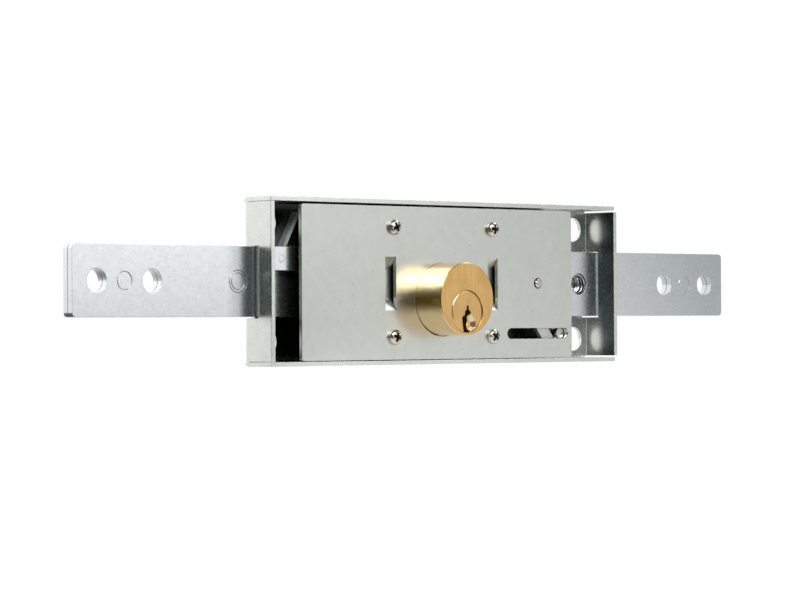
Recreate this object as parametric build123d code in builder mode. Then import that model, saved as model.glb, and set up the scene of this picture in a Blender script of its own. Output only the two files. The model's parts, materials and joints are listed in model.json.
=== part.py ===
from build123d import *
from math import acos, cos, pi, radians, sin, sqrt, tan
import os

# Two-bolt centre lock for a roller door. Turning the key drives a small pinion under the
# cylinder. The pinion moves a rack on the left bolt, and a rocker lever carries the same
# travel over to the right bolt. The lock is drawn with both bolts thrown.
#
# X runs along the bolts from the cylinder's axis, Z is up from the case's mid height, and
# Y = 0 is the rear face of the case. Depth is the distance in front of that face, so a
# profile at a depth lies on Plane.XZ.offset(depth) and is extruded towards the front.

os.makedirs("parts", exist_ok=True)

# Case: one folded tray, open to the front
case_left = 80.0
case_right = 88.7
case_height = 58.5
case_depth = 14.7
case_sheet = 1.5
bend_inner = 0.5
flap_relief = 0.2
left_corner_gap = 0.15
right_corner_gap = 0.65
left_flap_outset = 0.5
left_flap_lean = -2.0
right_flap_inset = 0.3
right_flap_lean = 6.0
slot_top_gap = 0.15
slot_bottom_gap = 0.5
slot_front_gap = 0.6
slot_into_back = 2.3
slot_rollover = 0.7
fixing_radius = 4.5
fixing_from_left = 8.5
fixing_from_right = 9.1
fixing_from_flange = 7.05

# Cover plate
cover_length = 132.0
cover_sheet = 1.5
cover_recess = 0.5
cover_top_gap = 0.75
cover_bottom_gap = 0.25
cover_corner = 1.0

# Pillars and the screws that hold the cover on them
pillar_middle_x = 0.9
pillar_spacing_x = 48.2
pillar_from_flange = 8.25
pillar_radius = 3.0
pillar_neck_radius = 2.4
pillar_spigot_radius = 2.0
screw_radius = 1.45
screw_head_radius = 2.75
screw_head_height = 2.0
recess_width = 0.9
recess_length = 3.2
recess_depth = 1.1
thread_clearance = 0.05
screw_hole_clearance = 0.15

# Lanced bridges in the cover
lance_spacing = 50.0
lance_middle_x = 0.3
lance_middle_z = -0.5
lance_width = 5.1
lance_length = 19.0
lance_kerf = 0.12

# Clamp plate behind the cover
clamp_length = 57.6
clamp_edge_gap = 0.75
clamp_corner = 1.5

# Bolts: two flat layers each
bolt_reach = 158.0
bolt_corner = 1.5
bolt_back_gap = 0.1
link_hole_radius = 4.1
link_hole_from_end = 10.0
link_hole_spacing = 23.0
outer_rivet_radius = 3.15
inner_rivet_radius = 3.0
inner_rivet_ring = 3.95
left_inner_rivet_x = 88.0
right_inner_rivet_x = 93.5
rivet_sink = 0.6
rivet_rim = 0.25
thread_hole_radius = 4.0
thread_hole_x = 77.9

# Left bolt's shape behind the cover
shoulder_start = 66.7
shoulder_angle = 28.4
shoulder_flange_gap = 3.25
rear_shoulder_end = 56.0
left_body_end = 38.0
tail_step = 5.0
tail_end = 39.5
tail_gap = 0.75
guide_gap = 0.25

# Stop block on the left bolt
stop_wall_gap = 3.0
stop_length = 19.0
stop_height = 8.2
stop_rivet_radius = 1.25

# Right bolt's shape behind the cover
right_body_start = 61.5
lug_half_width = 5.5
lug_below_pin = 4.7

# Cylinder and plug
cylinder_radius = 13.0
cylinder_z = -6.0
nose_length = 13.2
nose_chamfer = 0.25
neck_step = 0.3
cylinder_cover_gap = 0.5
cylinder_clamp_gap = 0.1
flange_radius = 15.0
flange_play = 0.1
plug_radius = 7.5
plug_z = -10.5
plug_gap = 0.1
plug_recess = 0.1
plug_chamfer = 0.4

# Keyway
keyway_end_wall = 3.0
keyway_mouth_depth = 1.4
keyway_mouth_slope = 42.0

# Pins in the cylinder
pin_count = 4
pin_radius = 1.2
pin_clearance = 0.1
pin_from_face = 3.0
pin_pitch = 3.3
key_pin_length = 4.8
driver_pin_length = 3.4
cap_height = 2.2
spring_wire = 0.28
spring_turns = 2

# Plug tail, its retainer and the pinion
tail_radius = 3.2
tail_square = 4.0
tail_clearance = 0.05
retainer_radius = 9.3
retainer_gap = 0.2
retainer_play = 0.1
clamp_over_cylinder_rear = 0.4
pinion_screw_radius = 1.2
pinion_screw_head_radius = 2.6

# Rack and pinion: one turn of the key throws both bolts
gear_module = 0.8
pinion_teeth = 11
pressure_angle = 25.0
pinion_addendum = 0.7
rack_addendum = 0.7
tooth_root_gap = 0.25
tooth_backlash = 0.3
rack_lead_teeth = 2

# Rocker lever and the pins it drives
pivot_x = 48.4
lever_tip_past_pin = 6.3
lever_prong = 5.0
lever_waist = 10.5
lever_waist_half_length = 7.0
lever_shoulder_before_pin = 5.5
lever_tip_corner = 5.0
lever_waist_corner = 3.0
drive_pin_radius = 1.8
drive_pin_head_radius = 2.2
fork_gap = 0.95
drive_pin_head_gap = 0.15
guide_slot_gap = 0.2
pivot_radius = 2.4
pivot_clearance = 0.1
pivot_shank_radius = 1.5
pivot_head_radius = 1.6
pivot_head_height = 0.7
pivot_sink_radius = 1.85
pivot_sink_depth = 0.5
pivot_collar_radius = 3.2
pivot_tail_radius = 3.4
pivot_tail_gap = 0.2

# Thicknesses of the stack between the back and the cover, as shares of its depth
stack_depth = case_depth - case_sheet - cover_sheet - cover_recess
bolt_plate = stack_depth * 3 / 14
retainer_sheet = stack_depth * 0.08
clamp_sheet = stack_depth * 5 / 28
lever_gap = stack_depth * 0.196
lever_sheet = stack_depth * 5 / 28
drive_pin_head_height = stack_depth / 8
stop_thickness = stack_depth * 0.32
screw_length = stack_depth * 0.89
pinion_screw_head_height = bolt_plate * 0.75
pinion_screw_length = bolt_plate * 2

# Layers, as depths from the rear face
rear_layer = case_sheet + bolt_back_gap
front_layer = rear_layer + bolt_plate
bolt_front = front_layer + bolt_plate
retainer_rear = bolt_front + retainer_gap
cylinder_rear = retainer_rear + retainer_sheet + retainer_play
clamp_rear = cylinder_rear + clamp_over_cylinder_rear
clamp_front = clamp_rear + clamp_sheet
cover_front = case_depth - cover_recess
cover_rear = cover_front - cover_sheet
nose_front = cover_front + nose_length
plug_front = nose_front - plug_recess
lever_rear = bolt_front + lever_gap
lever_front = lever_rear + lever_sheet

# Case values that follow
bend_outer = bend_inner + case_sheet
flange_inner_z = case_height / 2 - case_sheet
left_corner = case_left + left_flap_outset
flap_root = bend_outer + flap_relief
right_corner = case_right - right_flap_inset
bolt_half = flange_inner_z * 0.436
wall_slot_front = bolt_front + slot_front_gap
wall_slot_top = bolt_half + slot_top_gap
wall_slot_bottom = -bolt_half - slot_bottom_gap
cover_top = flange_inner_z - cover_top_gap
cover_bottom = -flange_inner_z + cover_bottom_gap
fixing_z = flange_inner_z - fixing_from_flange
fixing_places = [
    (x, z)
    for x in (-case_left + fixing_from_left, case_right - fixing_from_right)
    for z in (-fixing_z, fixing_z)
]
pillar_x = pillar_spacing_x / 2
pillar_z = flange_inner_z - pillar_from_flange
pillar_columns = (pillar_middle_x - pillar_x, pillar_middle_x + pillar_x)
pillar_places = [(x, z) for x in pillar_columns for z in (-pillar_z, pillar_z)]
pillar_bore_radius = screw_radius + thread_clearance
lance_columns = (lance_middle_x - lance_spacing / 2, lance_middle_x + lance_spacing / 2)

# Gear and travel values that follow
tooth_pitch = pi * gear_module
bolt_throw = tooth_pitch * pinion_teeth
pinion_pitch_radius = gear_module * pinion_teeth / 2
pinion_base_radius = pinion_pitch_radius * cos(radians(pressure_angle))
pinion_tip_radius = pinion_pitch_radius + pinion_addendum
pinion_root_radius = pinion_pitch_radius - rack_addendum - tooth_root_gap
rack_pitch_z = plug_z + pinion_pitch_radius
rack_root_height = pinion_addendum + tooth_root_gap
rack_root_z = rack_pitch_z + rack_root_height
tooth_half = tooth_pitch / 4 - tooth_backlash / 4

# Lever values that follow: the fork pins stand half the travel either side of the pivot
lever_arm = flange_inner_z * 2 / 3
lever_tip = lever_arm + lever_tip_past_pin
lever_shoulder = lever_arm - lever_shoulder_before_pin
drive_pin_place = (pivot_x - bolt_throw / 2, lever_arm)
guide_pin_place = (pivot_x + bolt_throw / 2, -lever_arm)
lever_angle = Vector(0, 1).get_angle(Vector(bolt_throw / 2, lever_arm))
fork_slot = 2 * (drive_pin_radius + fork_gap)
guide_slot_width = 2 * (drive_pin_radius + guide_slot_gap)
guide_slot_length = bolt_throw + guide_slot_width
tail_bottom = bolt_half + tail_gap
lever_half_width = fork_slot / 2 + lever_prong
pin_head_rear = lever_front + drive_pin_head_gap


def flap_profile(corner, side, lean, half_width):
    """Section of one end flap with its bend, on the plane of its lower edge."""
    run = case_depth * tan(radians(lean))
    skin = case_sheet / cos(radians(lean))
    inner_corner = corner + side * (case_sheet * tan(radians(lean)) - skin)
    root = corner - side * flap_root
    with BuildSketch(Plane.XY.offset(-half_width)) as profile:
        with BuildLine():
            Polyline(
                (root, 0),
                (corner, 0),
                (corner + side * run, -case_depth),
                (corner + side * (run - skin), -case_depth),
                (inner_corner, -case_sheet),
                (root, -case_sheet),
                close=True,
            )
        make_face()
        outer_vertex = profile.vertices().sort_by_distance((corner, 0, 0))[0]
        fillet(outer_vertex, radius=bend_outer)
        inner_vertex = profile.vertices().sort_by_distance((inner_corner, -case_sheet, 0))[0]
        fillet(inner_vertex, radius=bend_inner)
    return profile.sketch


def lance_profile(x):
    """Side view of one bridge: it leaves the cover, ramps back and bears on the clamp plate."""
    push = cover_rear - clamp_front
    ramp = 1.5 * push
    root = push / 4
    top = lance_middle_z + lance_length / 2
    bottom = lance_middle_z - lance_length / 2
    stations = [
        (top + root, 0),
        (top, 0),
        (top - ramp, push),
        (bottom + ramp, push),
        (bottom, 0),
        (bottom - root, 0),
    ]
    front_side = [(-cover_front + back, z) for z, back in stations]
    rear_side = [(-cover_rear + back, z) for z, back in reversed(stations)]
    with BuildSketch(Plane.YZ.offset(x - lance_width / 2 + lance_kerf)) as profile:
        with BuildLine():
            Polyline(*front_side, *rear_side, close=True)
        make_face()
        bends = profile.vertices().filter_by_position(Axis.Y, bottom - root / 2, top + root / 2)
        fillet(bends, radius=push / 2)
    return profile.sketch


def involute(radius):
    """Involute function of the pressure angle that the pinion's flank has at a radius."""
    angle = acos(pinion_base_radius / radius)
    return tan(angle) - angle


def pinion_tooth():
    """Outline of one pinion tooth that points along +X from the pinion's centre."""
    steps = 4
    rise = (pinion_tip_radius - pinion_base_radius) / steps
    half_at_pitch = tooth_half / pinion_pitch_radius + involute(pinion_pitch_radius)
    flank = [(pinion_root_radius - gear_module / 4, half_at_pitch)]
    for step in range(steps + 1):
        radius = pinion_base_radius + step * rise
        flank.append((radius, half_at_pitch - involute(radius)))
    right = [(radius * cos(angle), -radius * sin(angle)) for radius, angle in flank]
    left = [(radius * cos(angle), radius * sin(angle)) for radius, angle in reversed(flank)]
    return right + left


def rack_tooth():
    """Outline of one rack tooth that hangs down from its centre on the pitch line."""
    slope = tan(radians(pressure_angle))
    tip = tooth_half - rack_addendum * slope
    root = tooth_half + rack_root_height * slope
    return [
        (-root, rack_root_height),
        (-tip, -rack_addendum),
        (tip, -rack_addendum),
        (root, rack_root_height),
    ]


def write_part(part, name):
    """Labels a finished piece and writes it to its own file."""
    part.label = name
    export_step(part, f"parts/{name}.step")


# Case tray
with BuildPart() as case_tray:
    with BuildSketch(Plane.YZ.offset(-case_left)) as channel:
        with BuildLine():
            Polyline(
                (-case_depth, -case_height / 2),
                (0, -case_height / 2),
                (0, case_height / 2),
                (-case_depth, case_height / 2),
                (-case_depth, flange_inner_z),
                (-case_sheet, flange_inner_z),
                (-case_sheet, -flange_inner_z),
                (-case_depth, -flange_inner_z),
                close=True,
            )
        make_face()
        fillet(channel.vertices().group_by(Axis.X)[-1], radius=bend_outer)
        fillet(channel.vertices().filter_by_position(Axis.X, -case_sheet, -case_sheet), radius=bend_inner)
    extrude(amount=case_left + case_right)
    # The back ends short of each flap's bend, with a relief at every corner
    with BuildSketch(Plane.XZ):
        with Locations((-case_left, 0)):
            Rectangle(
                flap_root - left_flap_outset,
                2 * flange_inner_z,
                align=(Align.MIN, Align.CENTER),
            )
        with Locations((right_corner - flap_root, 0)):
            Rectangle(
                flap_root + right_flap_inset,
                2 * flange_inner_z,
                align=(Align.MIN, Align.CENTER),
            )
    extrude(amount=case_sheet + bend_inner, mode=Mode.SUBTRACT)
    left_half = flange_inner_z - left_corner_gap
    right_half = flange_inner_z - right_corner_gap
    extrude(flap_profile(-left_corner, -1, left_flap_lean, left_half), amount=2 * left_half)
    extrude(flap_profile(right_corner, 1, right_flap_lean, right_half), amount=2 * right_half)
    # Slots for the bolts, open to the rear, with the punch's rollover on the outer edges
    slot_inner = case_sheet + slot_into_back
    slot_height = wall_slot_top - wall_slot_bottom
    with BuildSketch(Plane.XZ):
        with Locations((-left_corner - case_sheet, wall_slot_bottom)):
            Rectangle(case_sheet + slot_inner, slot_height, align=(Align.MIN, Align.MIN))
        with Locations((right_corner - slot_inner, wall_slot_bottom)):
            Rectangle(slot_inner + case_depth, slot_height, align=(Align.MIN, Align.MIN))
    extrude(amount=wall_slot_front, mode=Mode.SUBTRACT)
    slot_edges = case_tray.edges().filter_by(Axis.Z)
    slot_edges = slot_edges.filter_by_position(Axis.Y, -wall_slot_front, -wall_slot_front)
    slot_edges = slot_edges.sort_by(Axis.X)
    fillet([slot_edges[0], slot_edges[-1]], radius=slot_rollover)
    # Fixing holes, and the holes that take the pillars' spigots
    with BuildSketch(Plane.XZ):
        with Locations(fixing_places):
            Circle(fixing_radius)
        with Locations(pillar_places):
            Circle(pillar_spigot_radius)
    extrude(amount=case_sheet, mode=Mode.SUBTRACT)
write_part(case_tray.part, "case_tray")

# Cover plate
with BuildPart() as cover_plate:
    with BuildSketch(Plane.XZ.offset(cover_rear)):
        with Locations((0, (cover_top + cover_bottom) / 2)):
            RectangleRounded(cover_length, cover_top - cover_bottom, cover_corner)
        with Locations((0, cylinder_z)):
            Circle(cylinder_radius + cylinder_cover_gap, mode=Mode.SUBTRACT)
        with Locations(pillar_places):
            Circle(screw_radius + screw_hole_clearance, mode=Mode.SUBTRACT)
        with Locations([(x, lance_middle_z) for x in lance_columns]):
            Rectangle(lance_width, lance_length, mode=Mode.SUBTRACT)
        with Locations((pivot_x, -lever_arm)):
            SlotOverall(guide_slot_length, guide_slot_width, mode=Mode.SUBTRACT)
        with Locations((pivot_x, 0)):
            Circle(pivot_shank_radius, mode=Mode.SUBTRACT)
    extrude(amount=cover_sheet)
    with BuildSketch(Plane.XZ.offset(cover_front)):
        with Locations((pivot_x, 0)):
            Circle(pivot_sink_radius)
    extrude(amount=-pivot_sink_depth, mode=Mode.SUBTRACT)
    for lance_x in lance_columns:
        extrude(lance_profile(lance_x), amount=lance_width - 2 * lance_kerf)
write_part(cover_plate.part, "cover_plate")

# Pillars
for number, place in enumerate(pillar_places, 1):
    with BuildPart() as pillar:
        with BuildSketch(Plane.XZ):
            with Locations(place):
                Circle(pillar_spigot_radius)
        extrude(amount=case_sheet)
        with BuildSketch(Plane.XZ.offset(case_sheet)):
            with Locations(place):
                Circle(pillar_radius)
        extrude(amount=clamp_rear - case_sheet)
        with BuildSketch(Plane.XZ.offset(clamp_rear)):
            with Locations(place):
                Circle(pillar_neck_radius)
        extrude(amount=cover_rear - clamp_rear)
        with BuildSketch(Plane.XZ.offset(cover_rear)):
            with Locations(place):
                Circle(pillar_bore_radius)
        extrude(amount=-(screw_length - cover_sheet + 2 * thread_clearance), mode=Mode.SUBTRACT)
    write_part(pillar.part, f"pillar_{number}")

# Cover screws
with BuildPart() as cover_screws:
    with BuildSketch(Plane.XZ.offset(cover_front - screw_length)):
        with Locations(pillar_places):
            Circle(screw_radius)
    extrude(amount=screw_length)
    with BuildSketch(Plane.XZ.offset(cover_front)):
        with Locations(pillar_places):
            Circle(screw_head_radius)
    extrude(amount=screw_head_height)
    head_rims = cover_screws.edges().filter_by(GeomType.CIRCLE).group_by(Axis.Y)[0]
    chamfer(head_rims, length=screw_head_height / 2)
    with BuildSketch(Plane.XZ.offset(cover_front + screw_head_height)):
        with Locations(pillar_places):
            Rectangle(recess_length, recess_width)
            Rectangle(recess_width, recess_length)
    extrude(amount=-recess_depth, mode=Mode.SUBTRACT)
write_part(cover_screws.part, "cover_screws")

# Clamp plate: it sits on the pillars' shoulders and backs the cylinder's flange
with BuildPart() as clamp_plate:
    with BuildSketch(Plane.XZ.offset(clamp_rear)):
        RectangleRounded(clamp_length, 2 * (flange_inner_z - clamp_edge_gap), clamp_corner)
        with Locations((0, cylinder_z)):
            Circle(cylinder_radius + cylinder_clamp_gap, mode=Mode.SUBTRACT)
        with Locations(pillar_places):
            Circle(pillar_neck_radius + thread_clearance, mode=Mode.SUBTRACT)
    extrude(amount=clamp_sheet)
write_part(clamp_plate.part, "clamp_plate")

# Cylinder body
cylinder_top = cylinder_z + cylinder_radius
chamber_radius = pin_radius + pin_clearance
pin_depths = [nose_front - pin_from_face - n * pin_pitch for n in range(pin_count)]
pin_places = [(0, -depth) for depth in pin_depths]
shear_z = plug_z + plug_radius + plug_gap
spring_bottom = shear_z + driver_pin_length
spring_top = cylinder_top - cap_height
with BuildPart() as cylinder_body:
    with BuildSketch(Plane.XZ.offset(cylinder_rear)):
        with Locations((0, cylinder_z)):
            Circle(cylinder_radius - neck_step)
    extrude(amount=cover_front - cylinder_rear)
    with BuildSketch(Plane.XZ.offset(cover_front)):
        with Locations((0, cylinder_z)):
            Circle(cylinder_radius)
    extrude(amount=nose_length)
    nose_rim = cylinder_body.edges().filter_by(GeomType.CIRCLE).sort_by(Axis.Y)[0]
    chamfer(nose_rim, length=nose_chamfer)
    with BuildSketch(Plane.XZ.offset(clamp_front + flange_play)):
        with Locations((0, cylinder_z)):
            Circle(flange_radius)
    extrude(amount=cover_rear - clamp_front - 2 * flange_play)
    with BuildSketch(Plane.XZ.offset(cylinder_rear)):
        with Locations((0, plug_z)):
            Circle(plug_radius + plug_gap)
    extrude(amount=nose_front - cylinder_rear, mode=Mode.SUBTRACT)
    with BuildSketch(Plane.XY.offset(plug_z)):
        with Locations(pin_places):
            Circle(chamber_radius)
    extrude(amount=cylinder_top - plug_z, mode=Mode.SUBTRACT)
write_part(cylinder_body.part, "cylinder_body")

# Driver pins, their springs and the caps that close the chambers
with BuildPart() as driver_pins:
    with BuildSketch(Plane.XY.offset(shear_z)):
        with Locations(pin_places):
            Circle(pin_radius)
    extrude(amount=driver_pin_length)
write_part(driver_pins.part, "driver_pins")

spring_height = spring_top - spring_bottom
spring_radius = pin_radius - spring_wire
with BuildPart() as pin_spring:
    with BuildLine():
        Helix(
            pitch=(spring_height - spring_wire) / spring_turns,
            height=spring_height - spring_wire,
            radius=spring_radius,
            center=(0, 0, spring_wire / 2),
        )
    with BuildSketch(Plane.XZ):
        with Locations((spring_radius, spring_wire / 2)):
            Rectangle(spring_wire, spring_wire)
    sweep(is_frenet=True)
with BuildPart() as pin_springs:
    with Locations([(x, y, spring_bottom) for x, y in pin_places]):
        add(pin_spring.part)
write_part(pin_springs.part, "pin_springs")

with BuildPart() as chamber_caps:
    with BuildSketch(Plane.XZ.offset(cover_front)):
        with Locations((0, cylinder_z)):
            Circle(cylinder_radius)
    extrude(amount=nose_length)
    with BuildSketch(Plane.XY.offset(spring_top)):
        with Locations(pin_places):
            Circle(chamber_radius)
    extrude(amount=cap_height, mode=Mode.INTERSECT)
write_part(chamber_caps.part, "chamber_caps")

# Key plug with its keyway, pin chambers and stepped tail
keyway_foot = -plug_radius - plug_gap
keyway_left = [
    (-0.1, 2.1),
    (-0.1, 0.8),
    (-0.9, 0.2),
    (-0.9, -1.0),
    (-0.6, -1.6),
    (-1.9, -2.2),
    (-2.3, -3.4),
    (-1.8, -5.0),
    (-1.6, keyway_foot),
]
keyway_right = [
    (2.0, keyway_foot),
    (0.8, -5.0),
    (1.4, -3.6),
    (1.2, -2.4),
    (0.7, -1.6),
    (1.7, -1.0),
    (1.7, 0.1),
    (0.8, 0.8),
    (0.8, 2.1),
]
keyway_mouth = [
    (-2.4, -2.0),
    (-0.9, -0.8),
    (2.2, -1.0),
    (3.9, -3.2),
    (4.1, -5.4),
    (3.2, keyway_foot),
    (-1.8, keyway_foot),
]
keyway_rear = cylinder_rear + keyway_end_wall
with BuildPart() as key_plug:
    with BuildSketch(Plane.XZ.offset(cylinder_rear)):
        with Locations((0, plug_z)):
            Circle(plug_radius)
    extrude(amount=plug_front - cylinder_rear)
    plug_rim = key_plug.edges().filter_by(GeomType.CIRCLE).sort_by(Axis.Y)[0]
    chamfer(plug_rim, length=plug_chamfer)
    with BuildSketch(Plane.XZ.offset(bolt_front)):
        with Locations((0, plug_z)):
            Circle(tail_radius)
    extrude(amount=cylinder_rear - bolt_front)
    with BuildSketch(Plane.XZ.offset(front_layer)):
        with Locations((0, plug_z)):
            Rectangle(tail_square, tail_square)
    extrude(amount=bolt_plate)
    with BuildSketch(Plane.XZ.offset(keyway_rear)):
        with Locations((0, plug_z)):
            Polygon(*keyway_left, *keyway_right, align=None)
    extrude(amount=plug_front - keyway_rear, mode=Mode.SUBTRACT)
    with BuildSketch(Plane.XZ.offset(plug_front)):
        with Locations((0, plug_z)):
            Polygon(*keyway_mouth, align=None)
    extrude(amount=-keyway_mouth_depth, taper=keyway_mouth_slope, mode=Mode.SUBTRACT)
    with BuildSketch(Plane.XY.offset(plug_z)):
        with Locations(pin_places):
            Circle(chamber_radius)
    extrude(amount=plug_radius + plug_gap, mode=Mode.SUBTRACT)
    with BuildSketch(Plane.XZ.offset(front_layer)):
        with Locations((0, plug_z)):
            Circle(pinion_screw_radius + thread_clearance)
    extrude(amount=pinion_screw_length, mode=Mode.SUBTRACT)
write_part(key_plug.part, "key_plug")

# Key pins stand in the plug just below its surface
key_pin_top = plug_z + sqrt(plug_radius**2 - pin_radius**2)
with BuildPart() as key_pins:
    with BuildSketch(Plane.XY.offset(key_pin_top)):
        with Locations(pin_places):
            Circle(pin_radius)
    extrude(amount=-key_pin_length)
    pin_tips = key_pins.edges().filter_by(GeomType.CIRCLE).group_by(Axis.Z)[0]
    chamfer(pin_tips, length=pin_radius / 2)
write_part(key_pins.part, "key_pins")

# Plug retainer
with BuildPart() as plug_retainer:
    with BuildSketch(Plane.XZ.offset(retainer_rear)):
        with Locations((0, plug_z)):
            Circle(retainer_radius)
            Circle(tail_radius + tail_clearance, mode=Mode.SUBTRACT)
    extrude(amount=retainer_sheet)
write_part(plug_retainer.part, "plug_retainer")

# Drive pinion, with a tooth straight up at rest
with BuildPart() as drive_pinion:
    with BuildSketch(Plane.XZ.offset(front_layer)):
        with Locations((0, plug_z)):
            Circle(pinion_root_radius)
            with PolarLocations(0, pinion_teeth, start_angle=90):
                Polygon(*pinion_tooth(), align=None)
            tail_hole = tail_square + 2 * tail_clearance
            Rectangle(tail_hole, tail_hole, mode=Mode.SUBTRACT)
    extrude(amount=bolt_plate)
write_part(drive_pinion.part, "drive_pinion")

# Screw that holds the pinion on the tail
with BuildPart() as pinion_screw:
    with BuildSketch(Plane.XZ.offset(front_layer)):
        with Locations((0, plug_z)):
            Circle(pinion_screw_head_radius)
    extrude(amount=-pinion_screw_head_height)
    head_rim = pinion_screw.edges().filter_by(GeomType.CIRCLE).sort_by(Axis.Y)[-1]
    chamfer(head_rim, length=pinion_screw_head_height / 3)
    with BuildSketch(Plane.XZ.offset(front_layer)):
        with Locations((0, plug_z)):
            Circle(pinion_screw_radius)
    extrude(amount=pinion_screw_length - thread_clearance)
write_part(pinion_screw.part, "pinion_screw")

# Left bolt, rear layer
shoulder_top = flange_inner_z - shoulder_flange_gap
shoulder_run = (shoulder_top - bolt_half) * tan(radians(shoulder_angle))
shoulder_start_x = -shoulder_start
shoulder_top_x = shoulder_start_x + shoulder_run
link_holes = [link_hole_from_end, link_hole_from_end + link_hole_spacing]
outer_rivet_from_end = link_hole_from_end + link_hole_spacing / 2
with BuildPart() as left_bolt_rear_plate:
    with BuildSketch(Plane.XZ.offset(rear_layer)) as outline:
        with BuildLine():
            Polyline(
                (-bolt_reach, -bolt_half),
                (-left_body_end, -bolt_half),
                (-left_body_end, bolt_half),
                (-rear_shoulder_end, bolt_half),
                (-rear_shoulder_end, shoulder_top),
                (shoulder_top_x, shoulder_top),
                (shoulder_start_x, bolt_half),
                (-bolt_reach, bolt_half),
                close=True,
            )
        make_face()
        fillet(outline.vertices().group_by(Axis.X)[0], radius=bolt_corner)
        with Locations([(-bolt_reach + distance, 0) for distance in link_holes]):
            Circle(link_hole_radius, mode=Mode.SUBTRACT)
        with Locations((-bolt_reach + outer_rivet_from_end, 0)):
            Circle(outer_rivet_radius, mode=Mode.SUBTRACT)
        with Locations((-left_inner_rivet_x, 0)):
            Circle(inner_rivet_radius, mode=Mode.SUBTRACT)
    extrude(amount=bolt_plate)
write_part(left_bolt_rear_plate.part, "left_bolt_rear_plate")

# Left bolt, front layer: its lower edge carries the rack, and the two upper pillars guide it
stop_left = -case_left + case_sheet + stop_wall_gap
stop_right = stop_left + stop_length
stop_middle_z = bolt_half - stop_height / 2
stop_rivet_inset = stop_height / 2
stop_rivet_places = [
    (stop_left + stop_rivet_inset, stop_middle_z),
    (stop_right - stop_rivet_inset, stop_middle_z),
]
guide_width = 2 * (pillar_radius + guide_gap)
guide_centres = [(x - bolt_throw / 2, pillar_z) for x in pillar_columns]
rack_teeth = range(-pinion_teeth - rack_lead_teeth, rack_lead_teeth)
rack_places = [((tooth + 0.5) * tooth_pitch, rack_pitch_z) for tooth in rack_teeth]
with BuildPart() as left_bolt_front_plate:
    with BuildSketch(Plane.XZ.offset(front_layer)) as outline:
        with BuildLine():
            Polyline(
                (-bolt_reach, -bolt_half),
                (-left_body_end, -bolt_half),
                (-left_body_end, rack_root_z),
                (tail_step, rack_root_z),
                (tail_step, tail_bottom),
                (tail_end, tail_bottom),
                (tail_end, shoulder_top),
                (shoulder_top_x, shoulder_top),
                (shoulder_start_x, bolt_half),
                (-bolt_reach, bolt_half),
                close=True,
            )
        make_face()
        fillet(outline.vertices().group_by(Axis.X)[0], radius=bolt_corner)
        with Locations(rack_places):
            Polygon(*rack_tooth(), align=None)
        with Locations(guide_centres):
            SlotCenterToCenter(bolt_throw, guide_width, mode=Mode.SUBTRACT)
        with Locations([(-bolt_reach + distance, 0) for distance in link_holes]):
            Circle(link_hole_radius, mode=Mode.SUBTRACT)
        with Locations((-bolt_reach + outer_rivet_from_end, 0)):
            Circle(outer_rivet_radius, mode=Mode.SUBTRACT)
        with Locations((-left_inner_rivet_x, 0)):
            Circle(inner_rivet_radius, mode=Mode.SUBTRACT)
        with Locations(drive_pin_place):
            Circle(drive_pin_radius, mode=Mode.SUBTRACT)
        with Locations(stop_rivet_places):
            Circle(stop_rivet_radius, mode=Mode.SUBTRACT)
    extrude(amount=bolt_plate)
    with BuildSketch(Plane.XZ.offset(bolt_front)):
        with Locations((-left_inner_rivet_x, 0)):
            Circle(inner_rivet_ring)
    extrude(amount=-rivet_sink, mode=Mode.SUBTRACT)
write_part(left_bolt_front_plate.part, "left_bolt_front_plate")

# Stop block and its rivets
with BuildPart() as left_stop_block:
    with BuildSketch(Plane.XZ.offset(bolt_front)):
        with Locations((stop_left, stop_middle_z)):
            Rectangle(stop_length, stop_height, align=(Align.MIN, Align.CENTER))
        with Locations(stop_rivet_places):
            Circle(stop_rivet_radius, mode=Mode.SUBTRACT)
    extrude(amount=stop_thickness)
write_part(left_stop_block.part, "left_stop_block")

with BuildPart() as stop_block_rivets:
    with BuildSketch(Plane.XZ.offset(front_layer)):
        with Locations(stop_rivet_places):
            Circle(stop_rivet_radius)
    extrude(amount=bolt_plate + stop_thickness)
write_part(stop_block_rivets.part, "stop_block_rivets")

# Pin on the left bolt that the lever's upper fork holds
with BuildPart() as left_drive_pin:
    with BuildSketch(Plane.XZ.offset(front_layer)):
        with Locations(drive_pin_place):
            Circle(drive_pin_radius)
    extrude(amount=pin_head_rear - front_layer)
    with BuildSketch(Plane.XZ.offset(pin_head_rear)):
        with Locations(drive_pin_place):
            Circle(drive_pin_head_radius)
    extrude(amount=drive_pin_head_height)
write_part(left_drive_pin.part, "left_drive_pin")

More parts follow.
